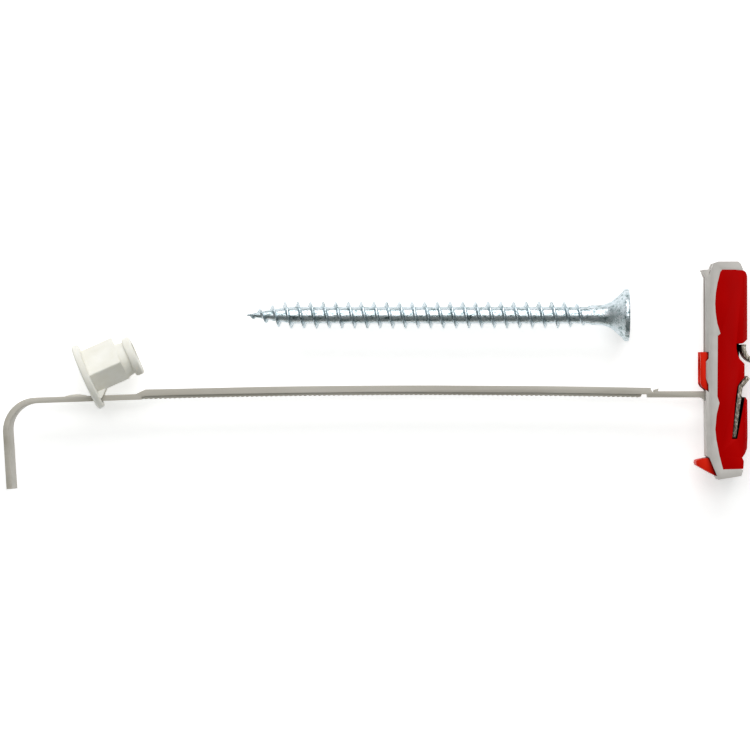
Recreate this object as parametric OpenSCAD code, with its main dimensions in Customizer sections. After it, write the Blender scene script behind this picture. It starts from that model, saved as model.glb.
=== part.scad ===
// Tilting wall anchor for a 10 mm hole, with its ratchet strap, collar and 5 x 70 mm screw.
// +X runs into the wall cavity, +Y is along the standing toggle, +Z is the width of the strap.
// The origin is where the screw axis meets the toggle's bearing face.

/* [Strap] */
// Width of the strap across Z
strap_w = 3.0; // [2.6:0.1:3.2]
// Thickness of the ratchet length, teeth included
strap_t = 1.83; // [1.6:0.01:1.9]
// Thickness of the plain tail
tail_t = 1.04; // [0.9:0.02:1.1]
// Thickness of the neck at the toggle
neck_t = 1.15; // [1.0:0.05:1.2]
// Radius of the strap's slight bow
bow_r = 1850; // [1800:50:2400]
// Pitch of the ratchet teeth
tooth_pitch = 0.88; // [0.8:0.02:1.2]
// Depth of the ratchet teeth
tooth_depth = 0.18; // [0.1:0.02:0.3]

/* [Toggle] */
// Length of the toggle
toggle_len = 39.7; // [39:0.1:40]
// Radius of the hole-filling curve of the toggle's sides
toggle_r = 4.95; // [4.8:0.05:5]
// Half width between the toggle's flat sides
toggle_half_w = 4.0; // [3.8:0.1:4.4]
// Radius of the screw hole in the core
screw_hole_r = 2.8; // [2.6:0.1:2.9]
// Width of the groove that takes the strap
groove_w = 3.5; // [3.4:0.1:3.8]

/* [Grip leaves] */
// Thickness of the spring steel
leaf_t = 0.8; // [0.7:0.05:0.85]
// Width of the leaves across Z
leaf_w = 6.2; // [5.6:0.1:6.2]

/* [Collar] */
// Radius of the collar's flange
flange_r = 6.25; // [6.2:0.05:6.4]
// Thickness of the flange
flange_t = 1.25; // [1.2:0.05:1.3]
// Side of the square sleeve
sleeve_side = 7.0; // [6.8:0.1:7.1]
// Radius of the collar's screw bore
collar_bore_r = 2.7; // [2.6:0.05:2.8]
// Lean of the collar on the plain tail, degrees
collar_lean = 24; // [20:1:26]

/* [Screw] */
// Length of the screw
screw_len = 70; // [70:1:71]
// Radius over the thread
thread_r = 2.47; // [2.4:0.01:2.5]
// Radius at the thread root
root_r = 1.55; // [1.5:0.05:1.6]
// Pitch of the thread
thread_pitch = 2.32; // [2.2:0.02:2.4]
// Radius of the countersunk head
head_r = 4.83; // [4.7:0.01:4.9]

/* [Hidden] */
$fn = 64;

// strap: middle of the bow, and where the ratchet length starts and ends
bow_x = -50.2;
bow_top = -2.73;
ratchet_x0 = -104.0;
ratchet_x1 = -9.9;
ramp_len = 1.9;
rib_w = strap_w - 0.8;
rib_t = 0.62;
bow_steps = 40;
// tail: a straight run, then a bend and a leg that is turned a little about its own length
tail_slope = 0.0344;
tail_y0 = -4.86;
tail_x0 = -104.8;
bend_x = -122.0;
bend_r = 5.43;
leg_len = 10.4;
leg_lean = 3.6;
leg_twist = 15;
// knuckle: the strap's bend, taken as a pin joint
knuckle = [neck_t / 2, -4.35];
knuckle_gap = 0.06;
// depth below the middle plane that the leaf slots reach
slot_floor = 3.2;
// collar: the latch that rides under the strap is the point that the collar rocks about
latch_r = 0.4;
latch_gap = 0.05;
latch_at = [-110.5, -6.07];
latch_to_axis = 5.35;
slot_w = strap_w + 0.3;
slot_top = 3.15;
sleeve_end = 6.8;
neck_end = 8.3;
collar_end = 9.75;
// screw
screw_y = 10.12;
head_x = -13.8;

function bow(x) = -(x - bow_x) * (x - bow_x) / (2 * bow_r);
function top_at(x) = bow_top + bow(x);
function tail_y(x) = tail_y0 + (x - tail_x0) * tail_slope;
function lerp(a, b, t) = a + (b - a) * t;

// ---- strap ----

// upper part of the ratchet length, along the bow
module ratchet_bar() {
    span = ratchet_x1 - ratchet_x0 - ramp_len;
    xs = [for (i = [0:bow_steps]) ratchet_x0 + ramp_len + span * i / bow_steps];
    n = len(xs) - 1;
    upper = [for (x = xs) [x, top_at(x)]];
    lower = [for (i = [n:-1:0]) [xs[i], top_at(xs[i]) - strap_t + rib_t]];
    foot = [[ratchet_x0, tail_y(ratchet_x0) - tail_t / 2 + 0.1],
            [ratchet_x0, tail_y(ratchet_x0) + tail_t / 2 - 0.05]];
    linear_extrude(strap_w, center = true) polygon(concat(upper, lower, foot));
}

// toothed rib under it
module ratchet_rib() {
    count = floor((ratchet_x1 - ratchet_x0 - 2) / tooth_pitch);
    start = ratchet_x0 + 1;
    last = start + count * tooth_pitch;
    teeth = [for (i = [0:count - 1], k = [0, 1])
        let (x = start + (i + k * 0.75) * tooth_pitch)
        [x, top_at(x) - strap_t + k * tooth_depth]];
    backs = [for (i = [bow_steps:-1:0])
        let (x = lerp(start, last, i / bow_steps))
        [x, top_at(x) - strap_t + rib_t + 0.1]];
    linear_extrude(rib_w, center = true) polygon(concat(teeth, backs));
}

// neck with its snap-off nick and nub, ending in the knuckle
module neck() {
    bottom = knuckle[1] - neck_t / 2;
    linear_extrude(strap_w, center = true) polygon([
        [ratchet_x1 - 0.6, bottom],
        // root fillet beside the toggle
        [-0.95, bottom], [-0.55, bottom - 0.08], [-0.25, bottom - 0.3],
        [-0.1, bottom - 0.65], [-0.06, bottom - 0.65], [-0.06, bottom],
        [knuckle[0], bottom],
        [knuckle[0], bottom + neck_t],
        [-8.6, bottom + neck_t],
        [-8.45, bottom + neck_t + 0.5],
        [-9.3, bottom + neck_t + 0.22],
        [-9.3, bottom + neck_t - 0.15],
        [-9.6, bottom + neck_t - 0.15],
        [ratchet_x1, bottom + neck_t + 0.35],
        [ratchet_x1 - 0.6, bottom + neck_t + 0.6]]);
    translate([knuckle[0], knuckle[1], 0])
        cylinder(h = strap_w, r = neck_t / 2, center = true);
}

// one corner of the tail's section: s along the path, then turned by the twist
function tail_point(s, side, face) =
    let (arc = bend_r * (90 - 1.97 + leg_lean) * PI / 180,
         slope = atan(tail_slope),
         on = min(max(s, 0), arc),
         heading = 180 + slope + on / bend_r * 180 / PI,
         start = [bend_x, tail_y(bend_x)],
         centre = start + bend_r * [cos(270 + slope), sin(270 + slope)],
         bend = centre + bend_r * [cos(heading - 90), sin(heading - 90)],
         at = bend + max(s - arc, 0) * [cos(heading), sin(heading)]
              + min(s, 0) * [cos(heading), sin(heading)],
         out = [cos(heading - 90), sin(heading - 90)],
         turn = leg_twist * on / arc,
         a = side * tail_t / 2,
         b = face * strap_w / 2,
         off = a * cos(turn) + b * sin(turn),
         z = b * cos(turn) - a * sin(turn))
    [at[0] + off * out[0], at[1] + off * out[1], z];

module tail() {
    run = bend_x - ratchet_x0 - 1.2;
    stops = concat([run], [for (i = [0:12]) i * 0.71], [leg_len / 2 + 8.7, leg_len + 8.7]);
    corners = [[1, 1], [-1, 1], [-1, -1], [1, -1]];
    points = [for (s = stops, c = corners) tail_point(s, c[0], c[1])];
    n = len(stops);
    sides = [for (i = [0:n - 2], k = [0:3])
        let (m = (k + 1) % 4, a = i * 4, b = a + 4)
        each [[a + k, a + m, b + m], [a + k, b + m, b + k]]];
    ends = [[3, 2, 1, 0], [for (k = [0:3]) (n - 1) * 4 + k]];
    polyhedron(points, concat(sides, ends), convexity = 4);
}

// low lens-shaped bump that stops the collar from sliding off the tail
module tail_bump() {
    x = -114.6;
    height = 0.35;
    r = 6.5;
    translate([x, tail_y(x) + tail_t / 2 - r + height, 0]) intersection() {
        cylinder(h = strap_w - 0.6, r = r, center = true);
        translate([0, r, 0]) cube([5.2, 1.6, strap_w], center = true);
    }
}

module strap() {
    color([0.69, 0.68, 0.63]) {
        ratchet_bar();
        ratchet_rib();
        neck();
        tail();
        tail_bump();
    }
}

// ---- toggle ----

// outer outline of the grey shell
module shell_outline() {
    polygon([
        [0, 16.9], [0.64, 17.6], [1.35, 19.5], [2.2, 19.83], [5.83, 19.83],
        [6.3, 19.4], [6.67, 18.5], [6.67, 18.2], [6.3, -17.9], [6.76, -18.1],
        [6.4, -19.2], [2.3, -19.87], [2.0, -19.2], [0.64, -15.9], [0.2, -15.6], [0.05, -6]]);
}

// boundary between shell and core, then the core's own right side
module core_outline() {
    polygon([
        // left side, top to bottom
        [2.9, 18.35], [2.55, 17.9], [2.05, 15.9], [1.75, 14.2], [1.62, 12.2], [1.72, 10.4],
        [2.0, 8.6], [2.58, 6.7], [2.1, 6.3], [2.03, -4.7], [2.4, -5.9], [1.9, -8.0],
        [1.65, -10.7], [1.85, -12.6], [2.4, -15.4], [3.07, -18.0],
        // right side, bottom to top
        [6.76, -17.9], [6.86, -16.5], [6.55, -15.85], [7.05, -15.2], [7.5, -14.2],
        [7.6, -12.0], [7.55, -5.4], [7.1, -4.7], [6.9, -4.66], [6.85, -2.6], [7.0, -1.4],
        [7.0, 1.5], [6.6, 2.2], [6.6, 4.9], [6.82, 5.03], [7.53, 5.65], [7.53, 17.2],
        [7.25, 17.9], [6.8, 18.2], [5.2, 18.35]]);
}

// cutter for both slots that the grip leaves lie in, closed at the far side
module leaf_slots() {
    translate([0, 0, -slot_floor]) linear_extrude(12) {
        // upper slot: between two arcs, open to the right
        polygon([
            [5.5, 4.92], [5.5, 3.9], [5.75, 2.8], [6.2, 2.0], [7.0, 1.2], [9, 1.0],
            [9, 4.0], [7.3, 4.3], [7.2, 4.92]]);
        // lower slot: a long tapered pocket beside the lower leg
        polygon([
            [4.7, -12.45], [5.65, -12.45], [6.75, -6.6], [7.05, -4.9], [9, -4.3],
            [9, -1.0], [7.0, -1.2], [6.2, -2.0], [5.7, -2.8], [5.35, -5]]);
    }
}

// room for the strap, which lies in the bearing face when the toggle is folded
module strap_groove() {
    neck_depth = neck_t + 0.3;
    ratchet_depth = 2.35;
    translate([-3, knuckle[1], -groove_w / 2])
        cube([3 + neck_depth, 9, groove_w]);
    translate([-3, 3.4, -groove_w / 2])
        cube([3 + ratchet_depth, 20, groove_w]);
    translate([knuckle[0], knuckle[1], 0])
        cylinder(h = groove_w, r = neck_t / 2 + knuckle_gap, center = true);
    translate([-3, knuckle[1] - neck_t / 2 - knuckle_gap, -groove_w / 2])
        cube([3 + knuckle[0], neck_t, groove_w]);
}

// the toggle's section: flat sides on a round that fits the drilled hole
module hole_envelope() {
    intersection() {
        translate([3.78, 0, 0]) rotate([90, 0, 0])
            cylinder(h = toggle_len + 4, r = toggle_r, center = true, $fn = 96);
        cube([20, toggle_len + 4, 2 * toggle_half_w], center = true);
    }
}

module screw_hole() {
    translate([-3, 0, 0]) rotate([0, 90, 0]) cylinder(h = 12, r = screw_hole_r);
}

// locating boss round the screw entry and claw at the foot, both part of the core moulding
module core_front() {
    linear_extrude(6.4, center = true) {
        polygon([
            [-0.97, 3.38], [0.5, 3.38], [0.5, 2.2], [0.0, 1.6], [0.0, -1.4],
            [0.46, -2.6], [0.5, -3.93], [-0.7, -2.9], [-0.97, -2.4]]);
        polygon([
            [-1.7, -16.4], [-1.2, -16.2], [0.6, -15.85], [2.05, -19.25],
            [1.0, -18.75], [-1.6, -17.3], [-1.78, -16.9]]);
    }
}

// bridges through the shell that tie the boss and the claw to the core
module core_ties() {
    for (side = [-1, 1]) translate([0.2, -2.6, side * 2.5 - 0.5]) cube([2.0, 5.2, 1]);
    translate([0.5, -17.7, -1.5]) cube([2.6, 1.1, 3]);
}

// windows in the shell that the boss and the claw come through
module shell_windows() {
    linear_extrude(7.6, center = true) {
        polygon([[-1, 3.38], [0.5, 3.38], [0.5, 2.2], [0.0, 1.6], [-1, 1.6]]);
        polygon([[-1, -1.4], [0, -1.4], [0.46, -2.6], [0.5, -3.93], [-1, -2.7]]);
        polygon([[-1, -15.6], [0.6, -15.85], [2.05, -19.25], [1.0, -20], [-1, -20]]);
    }
}

module barb() {
    linear_extrude(6, center = true) polygon([[-0.64, 18.35], [0.8, 18.4], [0.3, 16.6], [0, 16.9]]);
}

module toggle_shell() {
    color([0.74, 0.745, 0.73]) difference() {
        intersection() {
            union() {
                linear_extrude(11, center = true) shell_outline();
                barb();
            }
            union() {
                hole_envelope();
                translate([-3, 10, -3]) cube([4, 10, 6]);
            }
        }
        linear_extrude(12, center = true) core_outline();
        shell_windows();
        core_ties();
        strap_groove();
        screw_hole();
        // the shell is open on the cavity side
        translate([6.5, -18, -6]) cube([2, 36.2, 12]);
    }
}

module toggle_core() {
    color([0.68, 0.02, 0.01]) difference() {
        union() {
            intersection() {
                linear_extrude(11, center = true) core_outline();
                hole_envelope();
            }
            core_front();
            core_ties();
        }
        leaf_slots();
        strap_groove();
        screw_hole();
    }
}

// ---- grip leaves ----

// middle and radius of the upper leaf's curl
arc_c = [9.35, 4.15];
arc_r = 2.45;

module upper_grip_leaf() {
    color([0.6, 0.56, 0.5]) linear_extrude(leaf_w, center = true) intersection() {
        difference() {
            translate(arc_c) circle(r = arc_r + leaf_t / 2);
            translate(arc_c) circle(r = arc_r - leaf_t / 2);
        }
        polygon([[6, 4.75], [9.35, 4.75], [9.35, 4.15], [8.9, 0], [5, 0]]);
    }
}

module lower_grip_leaf() {
    color([0.6, 0.56, 0.5]) linear_extrude(leaf_w, center = true)
        polygon([
            [4.82, -12.2], [5.55, -12.2], [6.72, -3.1], [8.1, -1.5], [7.6, -0.95],
            [5.95, -2.75]]);
}

// ---- collar ----

// puts the collar's own frame (axis on +X, flange middle at the origin) in its leaning place
module place_collar() {
    translate([latch_at[0], latch_at[1], 0]) rotate([0, 0, collar_lean])
        translate([0, latch_to_axis, 0]) children();
}

// a straight passage for the strap at a given lean, in the collar's frame
module strap_passage(lean) {
    translate([0, -latch_to_axis, 0]) rotate([0, 0, -lean])
        translate([-20, latch_r, -slot_w / 2]) cube([40, slot_top - latch_r, slot_w]);
}

module gusset() {
    linear_extrude(0.5, center = true)
        polygon([[0.5, -3.2], [2.2, -3.2], [2.2, -3.4], [1.1, -4.4], [0.5, -4.7]]);
}

module collar() {
    color([0.94, 0.94, 0.91]) place_collar() difference() {
        union() {
            // flange with a softened front edge
            rotate([0, 90, 0]) rotate_extrude() polygon([
                [0, -flange_t / 2], [flange_r - 0.3, -flange_t / 2],
                [flange_r, -flange_t / 2 + 0.3], [flange_r, flange_t / 2 - 0.15],
                [flange_r - 0.15, flange_t / 2], [0, flange_t / 2]]);
            // square sleeve, corner up, its lowest corner cut off flat
            intersection() {
                rotate([45, 0, 0]) translate([0, -sleeve_side / 2, -sleeve_side / 2])
                    cube([sleeve_end, sleeve_side, sleeve_side]);
                rotate([0, 90, 0]) cylinder(h = sleeve_end, r = 4.85);
                translate([0, -3.55, -6]) cube([sleeve_end, 12, 12]);
            }
            // round neck and end ring
            translate([sleeve_end - 0.1, 0, 0]) rotate([0, 90, 0])
                cylinder(h = neck_end - sleeve_end + 0.2, r1 = 3.5, r2 = 3.2);
            translate([neck_end, 0, 0]) rotate([0, 90, 0]) rotate_extrude() polygon([
                [0, 0], [3.65, 0], [3.85, 0.2], [3.85, 1.2], [3.6, collar_end - neck_end],
                [0, collar_end - neck_end]]);
            for (side = [-1, 1]) translate([0, 0, side * 2.05]) gusset();
        }
        translate([-2, 0, 0]) rotate([0, 90, 0]) cylinder(h = 14, r = collar_bore_r);
        // keyhole slot for the strap, cut for the leaning and for the square collar
        strap_passage(collar_lean);
        strap_passage(0);
        translate([flange_t / 2, -12, -slot_w / 2]) cube([12, 9.8, slot_w]);
        // seat of the latch
        translate([0, -latch_to_axis, 0])
            cylinder(h = slot_w, r = latch_r + latch_gap, center = true);
    }
}

// rounded latch that bears on the strap's toothed side
module collar_latch() {
    color([0.92, 0.92, 0.89]) translate([latch_at[0], latch_at[1], 0])
        cylinder(h = slot_w - 0.4, r = latch_r, center = true, $fn = 32);
}

// ---- screw ----

// half profile of the screw, head face at 0 and tip at the far end
module screw_profile() {
    thread_from = 7.4;
    tip_from = 62.5;
    turns = floor((screw_len - 1.6 - thread_from) / thread_pitch);
    function root(s) = s < tip_from ? root_r : root_r * (screw_len - s) / (screw_len - tip_from);
    function crest(s) = s < 64 ? thread_r : lerp(thread_r, 0.5, (s - 64) / (screw_len - 64));
    thread = [for (i = [0:turns - 1])
        let (s = thread_from + i * thread_pitch)
        each [[root(s), s], [crest(s + 0.42), s + 0.38], [crest(s + 0.42), s + 0.5],
              [root(s + 0.9), s + 0.9]]];
    head = [[0, 0], [head_r - 0.1, 0], [head_r, 0.12], [head_r, 0.75], [head_r - 0.35, 1.0],
            [3.4, 2.3], [2.5, 3.4], [2.05, 4.4], [1.8, 5.2], [1.8, 6.9]];
    polygon(concat(head, thread, [[0.08, screw_len - 0.05], [0, screw_len]]));
}

module screw() {
    recess_depth = 2.6;
    color([0.75, 0.8, 0.82]) translate([head_x, screw_y, 0]) difference() {
        rotate([0, -90, 0]) rotate_extrude() screw_profile();
        for (turn = [0, 90]) rotate([turn, 0, 0])
            translate([-recess_depth, -2.4, -0.5]) cube([recess_depth + 1, 4.8, 1]);
    }
}

strap();
toggle_shell();
toggle_core();
upper_grip_leaf();
lower_grip_leaf();
collar();
collar_latch();
screw();
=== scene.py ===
import math
import bmesh
import bpy
from mathutils import Matrix, Vector


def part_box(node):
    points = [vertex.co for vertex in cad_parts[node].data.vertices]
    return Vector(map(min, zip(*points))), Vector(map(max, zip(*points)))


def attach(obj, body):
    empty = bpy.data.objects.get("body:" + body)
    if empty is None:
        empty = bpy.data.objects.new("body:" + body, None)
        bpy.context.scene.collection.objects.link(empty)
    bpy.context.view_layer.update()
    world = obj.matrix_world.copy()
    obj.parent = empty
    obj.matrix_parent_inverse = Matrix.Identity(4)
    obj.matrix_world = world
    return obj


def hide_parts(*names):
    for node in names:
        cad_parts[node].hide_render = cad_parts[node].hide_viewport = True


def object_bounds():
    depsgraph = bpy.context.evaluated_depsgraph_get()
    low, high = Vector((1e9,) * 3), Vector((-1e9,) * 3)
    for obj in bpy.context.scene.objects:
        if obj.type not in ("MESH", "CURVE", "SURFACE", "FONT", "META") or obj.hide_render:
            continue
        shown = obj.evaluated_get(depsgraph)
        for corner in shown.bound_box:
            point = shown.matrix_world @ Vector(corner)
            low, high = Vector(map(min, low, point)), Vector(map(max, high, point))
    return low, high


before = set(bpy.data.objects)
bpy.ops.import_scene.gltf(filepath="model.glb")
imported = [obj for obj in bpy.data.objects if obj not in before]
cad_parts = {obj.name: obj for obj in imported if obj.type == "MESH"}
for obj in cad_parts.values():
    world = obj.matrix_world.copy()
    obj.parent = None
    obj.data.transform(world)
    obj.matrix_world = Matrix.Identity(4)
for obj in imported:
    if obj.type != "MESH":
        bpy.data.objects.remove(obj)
cad_low, cad_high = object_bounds()


# ---- Strap ------------------------------------------------------------------
# One injection-moulded nylon strip: hooked tail, stop bump, toothed ratchet length
# and a thin neck that bends where it meets the toggle. Its edges are softened as
# a mould leaves them, and its bump is whitened by stress. It carries every other piece.

MM = 0.001
bump_x = -114.6 * MM
bump_half_length = 2.4 * MM
bump_foot_y = -4.9 * MM
bump_top_y = -4.5 * MM
stress_white = (0.68, 0.66, 0.60, 1)


def moulded_copy(node, body, edge, segments=2, flat=0.6):
    """A copy of a solid with its sharp edges rounded, standing for that solid."""
    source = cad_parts[node]
    bm = bmesh.new()
    bm.from_mesh(source.data)
    bm.transform(source.matrix_world)
    bmesh.ops.remove_doubles(bm, verts=bm.verts, dist=2e-6)
    bmesh.ops.dissolve_degenerate(bm, edges=bm.edges, dist=1e-6)
    bmesh.ops.dissolve_limit(
        bm, angle_limit=math.radians(flat), verts=bm.verts, edges=bm.edges)
    mesh = bpy.data.meshes.new(f"{node}_moulded")
    bm.to_mesh(mesh)
    bm.free()
    piece = bpy.data.objects.new(f"{node}_moulded", mesh)
    bpy.context.collection.objects.link(piece)
    for polygon in mesh.polygons:
        polygon.use_smooth = True
    bevel = piece.modifiers.new("Mould radius", "BEVEL")
    bevel.width = edge
    bevel.segments = segments
    bevel.limit_method = "ANGLE"
    bevel.angle_limit = math.radians(28)
    bevel.harden_normals = True
    bevel.use_clamp_overlap = True
    bevel.miter_outer = "MITER_ARC"
    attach(piece, body)
    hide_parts(node)
    return piece


def shader(name, color, roughness, **sockets):
    """A new material with constant values set on its Principled shader."""
    material = bpy.data.materials.new(name)
    material.use_nodes = True
    tree = material.node_tree
    bsdf = tree.nodes["Principled BSDF"]
    bsdf.inputs["Base Color"].default_value = (*color, 1)
    bsdf.inputs["Roughness"].default_value = roughness
    for socket, value in sockets.items():
        bsdf.inputs[socket.replace("_", " ")].default_value = value
    return material, tree, bsdf


def placed_noise(tree, scale, detail=4.0, roughness=0.55, stretch=(1, 1, 1)):
    """Noise laid on object coordinates, scale in features to the metre."""
    coordinates = tree.nodes.new("ShaderNodeTexCoord")
    mapping = tree.nodes.new("ShaderNodeMapping")
    mapping.inputs["Scale"].default_value = stretch
    noise = tree.nodes.new("ShaderNodeTexNoise")
    noise.inputs["Scale"].default_value = scale
    noise.inputs["Detail"].default_value = detail
    noise.inputs["Roughness"].default_value = roughness
    tree.links.new(coordinates.outputs["Object"], mapping.inputs["Vector"])
    tree.links.new(mapping.outputs["Vector"], noise.inputs["Vector"])
    return noise


def object_axes(tree):
    """The object coordinates, split into X, Y and Z."""
    coordinates = tree.nodes.new("ShaderNodeTexCoord")
    split = tree.nodes.new("ShaderNodeSeparateXYZ")
    tree.links.new(coordinates.outputs["Object"], split.inputs["Vector"])
    return split


def scaled(tree, source, low, high):
    """Source mapped to 0 at low and 1 at high."""
    span = tree.nodes.new("ShaderNodeMapRange")
    span.inputs["From Min"].default_value = low
    span.inputs["From Max"].default_value = high
    tree.links.new(source, span.inputs["Value"])
    return span.outputs["Result"]


def colour_mix(tree, share, first, second, blend="MIX"):
    """Colour output that goes from first to second, as share goes from 0 to 1."""
    mix = tree.nodes.new("ShaderNodeMix")
    mix.data_type = "RGBA"
    mix.blend_type = blend
    for socket, value in (("Factor", share), ("A", first), ("B", second)):
        if isinstance(value, bpy.types.NodeSocket):
            tree.links.new(value, mix.inputs[socket])
        else:
            mix.inputs[socket].default_value = value
    return mix.outputs["Result"]


def colour_ramp(tree, source, stops):
    """A colour ramp fed by source, with (position, colour) stops."""
    ramp = tree.nodes.new("ShaderNodeValToRGB")
    elements = ramp.color_ramp.elements
    while len(elements) < len(stops):
        elements.new(0.5)
    for element, (position, color) in zip(elements, stops):
        element.position = position
        element.color = (*color, 1)
    tree.links.new(source, ramp.inputs["Fac"])
    return ramp


def add_bump(tree, bsdf, source, depth, strength=0.6):
    """Fine relief from a grey source, depth in metres."""
    bump = tree.nodes.new("ShaderNodeBump")
    bump.inputs["Strength"].default_value = strength
    bump.inputs["Distance"].default_value = depth
    tree.links.new(source, bump.inputs["Height"])
    tree.links.new(bump.outputs["Normal"], bsdf.inputs["Normal"])


def vary_roughness(tree, bsdf, source, low, high):
    """Roughness between low and high, following a grey source."""
    span = tree.nodes.new("ShaderNodeMapRange")
    span.inputs["To Min"].default_value = low
    span.inputs["To Max"].default_value = high
    tree.links.new(source, span.inputs["Value"])
    tree.links.new(span.outputs["Result"], bsdf.inputs["Roughness"])


def strap_nylon():
    material, tree, bsdf = shader("strap_nylon", (0.45, 0.43, 0.38), 0.42,
                                  Subsurface_Weight=0.15, Subsurface_Scale=0.0008)
    bsdf.inputs["Subsurface Radius"].default_value = (1.0, 0.9, 0.75)
    flow = placed_noise(tree, 260, 5, 0.6, (0.12, 1, 1))
    grain = placed_noise(tree, 5200, 3)
    tone = colour_ramp(tree, flow.outputs["Fac"], [
        (0.30, (0.40, 0.375, 0.32)), (0.52, (0.475, 0.45, 0.395)), (0.75, (0.54, 0.515, 0.455))])
    # the bump on the tail is a patch of X, above the tail's own top
    axes = object_axes(tree)
    along = tree.nodes.new("ShaderNodeMath")
    along.operation = "COMPARE"
    along.inputs[1].default_value = bump_x
    along.inputs[2].default_value = bump_half_length
    tree.links.new(axes.outputs["X"], along.inputs[0])
    whitened = tree.nodes.new("ShaderNodeMath")
    whitened.operation = "MULTIPLY"
    tree.links.new(along.outputs["Value"], whitened.inputs[0])
    tree.links.new(scaled(tree, axes.outputs["Y"], bump_foot_y, bump_top_y), whitened.inputs[1])
    color = colour_mix(tree, whitened.outputs["Value"], tone.outputs["Color"], stress_white)
    tree.links.new(color, bsdf.inputs["Base Color"])
    vary_roughness(tree, bsdf, flow.outputs["Fac"], 0.34, 0.52)
    add_bump(tree, bsdf, grain.outputs["Fac"], 0.00002)
    return material


strap = moulded_copy("strap", "strap", 0.10 * MM)
strap.data.materials.append(strap_nylon())


# ---- Toggle shell -----------------------------------------------------------
# The grey half of the two-shot toggle, moulded in glass-filled nylon. It is a long
# C round the red core, with a barb at its upper end and a groove for the strap.

def shell_nylon():
    material, tree, bsdf = shader("glass_filled_nylon", (0.50, 0.505, 0.485), 0.55)
    clouds = placed_noise(tree, 420, 4)
    fibres = placed_noise(tree, 2600, 3, 0.6, (1, 0.25, 1))
    tone = colour_ramp(tree, clouds.outputs["Fac"], [
        (0.3, (0.51, 0.485, 0.455)), (0.55, (0.55, 0.525, 0.495)), (0.78, (0.59, 0.57, 0.54))])
    tree.links.new(tone.outputs["Color"], bsdf.inputs["Base Color"])
    vary_roughness(tree, bsdf, fibres.outputs["Fac"], 0.42, 0.62)
    add_bump(tree, bsdf, fibres.outputs["Fac"], 0.00003)
    return material


shell = moulded_copy("toggle_shell", "toggle", 0.12 * MM)
shell.data.materials.append(shell_nylon())


# ---- Toggle core ------------------------------------------------------------
# The red half of the two-shot toggle. Its boss round the screw entry and its claw
# come through the shell. Those slender parts get painted light, a brighter orange, and the core's
# recesses get painted shade.

# painted light: within this distance of X = 0 the core is painted a brighter orange, standing for
# light shining through its boss and claw
painted_glow_depth = 1.6 * MM
# how far the painted shade in the core's recesses looks for cover
pocket_shade_reach = 3.5 * MM


def core_nylon():
    material, tree, bsdf = shader("red_core_nylon", (0.46, 0.0, 0.0), 0.55,
                                  Specular_IOR_Level=0.02)
    # share of the painted orange glow, which fades out over the first 1.6 mm of X
    depth = scaled(tree, object_axes(tree).outputs["X"], 0.0, painted_glow_depth)
    clouds = placed_noise(tree, 300, 4, 0.5, (1, 0.3, 1))
    body = colour_ramp(tree, clouds.outputs["Fac"], [
        (0.3, (0.41, 0.0, 0.0)), (0.55, (0.46, 0.0, 0.0)), (0.8, (0.51, 0.001, 0.0))])
    # painted light: the brighter orange reds of the boss and claw
    painted_glow_red = colour_ramp(tree, clouds.outputs["Fac"], [
        (0.3, (0.66, 0.012, 0.004)), (0.6, (0.75, 0.022, 0.007)), (0.8, (0.82, 0.035, 0.012))])
    red = colour_mix(tree, depth, painted_glow_red.outputs["Color"], body.outputs["Color"])
    # painted shade: ambient occlusion darkens recesses such as the leaf pockets almost to black
    painted_pocket_shade = tree.nodes.new("ShaderNodeAmbientOcclusion")
    painted_pocket_shade.inputs["Distance"].default_value = pocket_shade_reach
    shade = colour_ramp(tree, painted_pocket_shade.outputs["AO"], [
        (0.35, (0.02, 0.02, 0.02)), (0.62, (0.5, 0.5, 0.5)), (0.85, (1, 1, 1))])
    color = colour_mix(tree, 1.0, red, shade.outputs["Color"], "MULTIPLY")
    tree.links.new(color, bsdf.inputs["Base Color"])
    grain = placed_noise(tree, 4200, 3)
    vary_roughness(tree, bsdf, clouds.outputs["Fac"], 0.3, 0.46)
    add_bump(tree, bsdf, grain.outputs["Fac"], 0.000015)
    return material


core = moulded_copy("toggle_core", "toggle", 0.13 * MM)
core.data.materials.append(core_nylon())


# ---- Grip leaves ------------------------------------------------------------
# Two spring steel leaves, sheared and bent from strip and pushed into pockets in the
# core. Their sheared edges are rough and brownish; their tips bite the screw thread.

def sheared_steel():
    material, tree, bsdf = shader("sheared_spring_steel", (0.42, 0.37, 0.31), 0.4, Metallic=1.0)
    tears = placed_noise(tree, 2600, 6, 0.75, (1, 0.5, 1))
    tone = colour_ramp(tree, tears.outputs["Fac"], [
        (0.36, (0.03, 0.025, 0.02)), (0.50, (0.30, 0.26, 0.21)), (0.62, (0.80, 0.74, 0.65))])
    tree.links.new(tone.outputs["Color"], bsdf.inputs["Base Color"])
    vary_roughness(tree, bsdf, tears.outputs["Fac"], 0.28, 0.6)
    add_bump(tree, bsdf, tears.outputs["Fac"], 0.00012, 0.9)
    return material


leaf_steel = sheared_steel()
for leaf_node, leaf_body in (("upper_grip_leaf", "upper_leaf"), ("lower_grip_leaf", "lower_leaf")):
    leaf = moulded_copy(leaf_node, leaf_body, 0.08 * MM)
    leaf.data.materials.append(leaf_steel)


# ---- Collar -----------------------------------------------------------------
# Off-white nylon sleeve that fills the drilled hole: thin flange, square body, round
# neck and end ring, with a keyhole passage for the screw and the strap.

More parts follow.
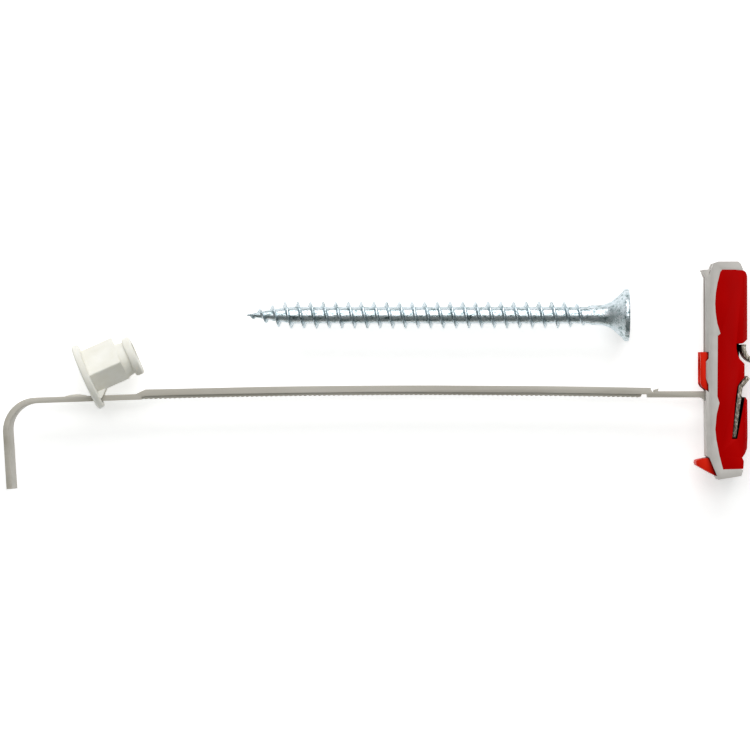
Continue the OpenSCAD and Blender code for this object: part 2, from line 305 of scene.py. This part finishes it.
def collar_nylon():
    material, tree, bsdf = shader("off_white_nylon", (0.80, 0.79, 0.73), 0.45,
                                  Subsurface_Weight=0.25, Subsurface_Scale=0.001)
    bsdf.inputs["Subsurface Radius"].default_value = (1.0, 0.95, 0.8)
    clouds = placed_noise(tree, 350, 4)
    tone = colour_ramp(tree, clouds.outputs["Fac"], [
        (0.3, (0.76, 0.745, 0.67)), (0.55, (0.80, 0.79, 0.73)), (0.8, (0.84, 0.83, 0.78))])
    tree.links.new(tone.outputs["Color"], bsdf.inputs["Base Color"])
    grain = placed_noise(tree, 3800, 3)
    vary_roughness(tree, bsdf, clouds.outputs["Fac"], 0.34, 0.5)
    add_bump(tree, bsdf, grain.outputs["Fac"], 0.000015)
    return material


white_nylon = collar_nylon()
collar = moulded_copy("collar", "collar", 0.16 * MM, 3)
collar.data.materials.append(white_nylon)
latch = moulded_copy("collar_latch", "collar_latch", 0.08 * MM)
latch.data.materials.append(white_nylon)


# ---- Screw ------------------------------------------------------------------
# Countersunk chipboard screw, cold-headed and thread-rolled in steel, then bright
# zinc plated. The thread is one right-hand helix that fades out below the neck.

screw_low, screw_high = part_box("screw")
head_x = screw_high.x
tip_x = screw_low.x
axis_y = (screw_low.y + screw_high.y) / 2
axis_z = (screw_low.z + screw_high.z) / 2
head_r = (screw_high.y - screw_low.y) / 2
screw_len = head_x - tip_x
root_r = 1.55 * MM
neck_r = 1.8 * MM
thread_r = 2.47 * MM
thread_pitch = 2.32 * MM
thread_start = 7.2 * MM
thread_foot_r = root_r - 0.08 * MM
thread_fade = 2.2 * thread_pitch
shank_start = 7.5 * MM
taper_start = 61.5 * MM
crest_taper_start = taper_start + 1.5 * MM
tip_crest_r = 0.35 * MM
turn_steps = 40


def revolve(bm, outline, steps):
    """Spins an outline of (radius, distance from the head face) round the X axis."""
    verts = [bm.verts.new((-s, r, 0)) for r, s in outline]
    edges = [bm.edges.new(pair) for pair in zip(verts, verts[1:])]
    bmesh.ops.spin(bm, geom=verts + edges, cent=(0, 0, 0), axis=(1, 0, 0),
                   angle=math.tau, steps=steps, use_merge=True)


def cross_recess_cutter():
    """Tapered cross for the driver, as a throwaway object in millimetres."""
    reach, half_width = 2.5725, 0.504
    mouth_x, depth, floor_share = 0.6, 2.7, 0.4
    arm = [(reach, -half_width), (reach, half_width), (half_width, half_width)]
    ring = [Matrix.Rotation(quarter * math.pi / 2, 2) @ Vector(corner)
            for quarter in range(4) for corner in arm]
    bm = bmesh.new()
    mouth = bm.faces.new([bm.verts.new((mouth_x, p.x, p.y)) for p in ring])
    drawn = bmesh.ops.extrude_face_region(bm, geom=[mouth])["geom"]
    floor = [item for item in drawn if isinstance(item, bmesh.types.BMVert)]
    bmesh.ops.scale(bm, verts=floor, vec=(1, floor_share, floor_share))
    bmesh.ops.translate(bm, verts=floor, vec=(-depth - mouth_x, 0, 0))
    bmesh.ops.recalc_face_normals(bm, faces=bm.faces)
    mesh = bpy.data.meshes.new("recess")
    bm.to_mesh(mesh)
    bm.free()
    cutter = bpy.data.objects.new("recess", mesh)
    bpy.context.collection.objects.link(cutter)
    return cutter


def screw_body():
    """Shank and head as one spun skin, with the driver recess cut in the head face."""
    outline = [
        (0, 0), (head_r - 0.25 * MM, 0), (head_r - 0.08 * MM, 0.05 * MM),
        (head_r, 0.18 * MM), (head_r, 0.72 * MM), (head_r - 0.12 * MM, 0.9 * MM),
        (head_r - 0.6 * MM, 1.25 * MM), (3.45 * MM, 2.15 * MM), (2.85 * MM, 2.8 * MM),
        (2.4 * MM, 3.4 * MM), (2.12 * MM, 4.1 * MM), (1.92 * MM, 4.8 * MM),
        (neck_r, 5.5 * MM), (neck_r, 6.9 * MM), (root_r, shank_start)]
    rings = 24
    for i in range(1, rings + 1):
        outline.append((root_r, shank_start + (taper_start - shank_start) * i / rings))
    outline += [(root_r * 0.72, 64.6 * MM), (root_r * 0.42, 67.2 * MM),
                (0.12 * MM, screw_len - 0.25 * MM), (0, screw_len)]
    bm = bmesh.new()
    revolve(bm, outline, 64)
    bmesh.ops.remove_doubles(bm, verts=bm.verts, dist=1e-6)
    bmesh.ops.recalc_face_normals(bm, faces=bm.faces)
    bmesh.ops.scale(bm, vec=(1 / MM, 1 / MM, 1 / MM), verts=bm.verts)
    mesh = bpy.data.meshes.new("screw_body")
    bm.to_mesh(mesh)
    bm.free()
    body = bpy.data.objects.new("screw_body", mesh)
    bpy.context.collection.objects.link(body)
    cutter = cross_recess_cutter()
    cut = body.modifiers.new("Recess", "BOOLEAN")
    cut.object = cutter
    cut.solver = "EXACT"
    bpy.context.view_layer.update()
    depsgraph = bpy.context.evaluated_depsgraph_get()
    finished = bpy.data.meshes.new_from_object(body.evaluated_get(depsgraph))
    finished.transform(Matrix.Scale(MM, 4))
    bpy.data.objects.remove(body)
    bpy.data.objects.remove(cutter)
    return finished


def thread_height(s):
    """How far the crest stands from the axis at distance s from the head face."""
    fade_in = min(max((s - thread_start) / thread_fade, 0), 1)
    full = root_r + (thread_r - root_r) * (0.25 + 0.75 * fade_in)
    if s < crest_taper_start:
        return full
    left = (screw_len - s) / (screw_len - crest_taper_start)
    return tip_crest_r + (thread_r - tip_crest_r) * max(left, 0)


def root_at(s):
    """Radius of the thread's foot, just inside the shank."""
    if s < taper_start:
        return thread_foot_r
    left = (screw_len - s) / (screw_len - taper_start)
    return max(thread_foot_r * left, 0.05 * MM)


def screw_thread(bm):
    """One helical ridge: a closed four-point section spun with a pitch, then tapered."""
    foot, crest = 0.42 * MM, 0.07 * MM
    section = [(thread_foot_r, -foot), (thread_r, -crest), (thread_r, crest),
               (thread_foot_r, foot)]
    verts = [bm.verts.new((-thread_start - s, r, 0)) for r, s in section]
    edges = [bm.edges.new(pair) for pair in zip(verts, verts[1:] + verts[:1])]
    turns = (screw_len - thread_start - 0.9 * MM) / thread_pitch
    steps = round(turns * turn_steps)
    bmesh.ops.spin(bm, geom=verts + edges, cent=(0, 0, 0), axis=(-1, 0, 0),
                   dvec=(-thread_pitch / turn_steps, 0, 0),
                   angle=math.tau * turns, steps=steps, use_merge=False)
    ends = [edge for edge in bm.edges if edge.is_boundary]
    bmesh.ops.holes_fill(bm, edges=ends, sides=4)
    for vert in bm.verts:
        s = -vert.co.x
        radius = math.hypot(vert.co.y, vert.co.z)
        on_crest = radius > (root_r + thread_r) / 2
        wanted = thread_height(s) if on_crest else root_at(s)
        vert.co.y *= wanted / radius
        vert.co.z *= wanted / radius


def zinc_plate():
    material, tree, bsdf = shader("bright_zinc", (0.70, 0.78, 0.81), 0.2, Metallic=1.0)
    tint = placed_noise(tree, 1500, 6, 0.7, (0.6, 1, 1))
    dents = placed_noise(tree, 2300, 5, 0.65, (0.7, 1, 1))
    tone = colour_ramp(tree, tint.outputs["Fac"], [
        (0.36, (0.12, 0.18, 0.19)), (0.45, (0.52, 0.61, 0.64)), (0.66, (0.74, 0.79, 0.84))])
    tree.links.new(tone.outputs["Color"], bsdf.inputs["Base Color"])
    vary_roughness(tree, bsdf, dents.outputs["Fac"], 0.12, 0.38)
    add_bump(tree, bsdf, dents.outputs["Fac"], 0.00008, 0.85)
    return material


bm = bmesh.new()
screw_thread(bm)
bmesh.ops.recalc_face_normals(bm, faces=bm.faces)
body_mesh = screw_body()
bm.from_mesh(body_mesh)
bpy.data.meshes.remove(body_mesh)
bmesh.ops.translate(bm, verts=bm.verts, vec=(head_x, axis_y, axis_z))
screw_mesh = bpy.data.meshes.new("chipboard_screw")
bm.to_mesh(screw_mesh)
bm.free()
for polygon in screw_mesh.polygons:
    polygon.use_smooth = True
screw = bpy.data.objects.new("chipboard_screw", screw_mesh)
bpy.context.collection.objects.link(screw)
screw_mesh.set_sharp_from_angle(angle=math.radians(35))
screw_mesh.materials.append(zinc_plate())
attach(screw, "screw")
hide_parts("screw")


# ---- Stage, lights and camera -----------------------------------------------
# The set lies on a white sheet, lit softly from beyond its upper side and from all
# round, and is seen from straight above through a long lens.

def white_floor():
    bm = bmesh.new()
    bmesh.ops.create_grid(bm, x_segments=1, y_segments=1, size=1.5)
    bmesh.ops.translate(bm, verts=bm.verts, vec=(0, 0, cad_low.z - 0.2 * MM))
    mesh = bpy.data.meshes.new("floor")
    bm.to_mesh(mesh)
    bm.free()
    floor = bpy.data.objects.new("floor", mesh)
    bpy.context.collection.objects.link(floor)
    material = shader("white_sheet", (0.93, 0.93, 0.93), 0.9,
                      Emission_Color=(1, 1, 1, 1), Emission_Strength=0.42)[0]
    mesh.materials.append(material)


def area_light(name, place, target, size, watts):
    data = bpy.data.lights.new(name, "AREA")
    data.energy = watts
    data.shape = "RECTANGLE"
    data.size, data.size_y = size
    light = bpy.data.objects.new(name, data)
    light.location = place
    aim = Vector(target) - Vector(place)
    light.rotation_euler = aim.to_track_quat("-Z", "Y").to_euler()
    bpy.context.collection.objects.link(light)


# width of the view at the set's middle plane, and the point that it is centred on
frame_width = 0.13708
view_x = -0.06022
view_y = -0.00082

white_floor()
centre = (view_x, view_y, 0)
area_light("key", place=(view_x, 0.6, 0.5), target=centre, size=(0.8, 0.35), watts=2.9)
area_light("overhead", place=(view_x, 0.22, 0.9), target=centre, size=(0.7, 0.35), watts=2.2)

# the surroundings are bright beyond the upper side and dim towards the lower one
world = bpy.data.worlds.new("studio")
world.use_nodes = True
world_tree = world.node_tree
direction = world_tree.nodes.new("ShaderNodeTexCoord")
parts = world_tree.nodes.new("ShaderNodeSeparateXYZ")
world_tree.links.new(direction.outputs["Generated"], parts.inputs["Vector"])
across = scaled(world_tree, parts.outputs["Y"], low=-0.9, high=0.9)
sky = colour_ramp(world_tree, across, [
    (0.1, (0.36, 0.385, 0.37)), (0.5, (0.66, 0.68, 0.66)), (0.8, (1, 1, 1))])
background = world_tree.nodes["Background"]
world_tree.links.new(sky.outputs["Color"], background.inputs["Color"])
background.inputs["Strength"].default_value = 0.5
bpy.context.scene.world = world
bpy.context.scene.view_settings.view_transform = "Standard"

camera_data = bpy.data.cameras.new("camera")
camera_data.lens = 200
camera_data.sensor_width = 36
camera_data.clip_end = 10
camera = bpy.data.objects.new("camera", camera_data)
camera.location = (view_x, view_y, frame_width * camera_data.lens / camera_data.sensor_width)
bpy.context.collection.objects.link(camera)
bpy.context.scene.camera = camera
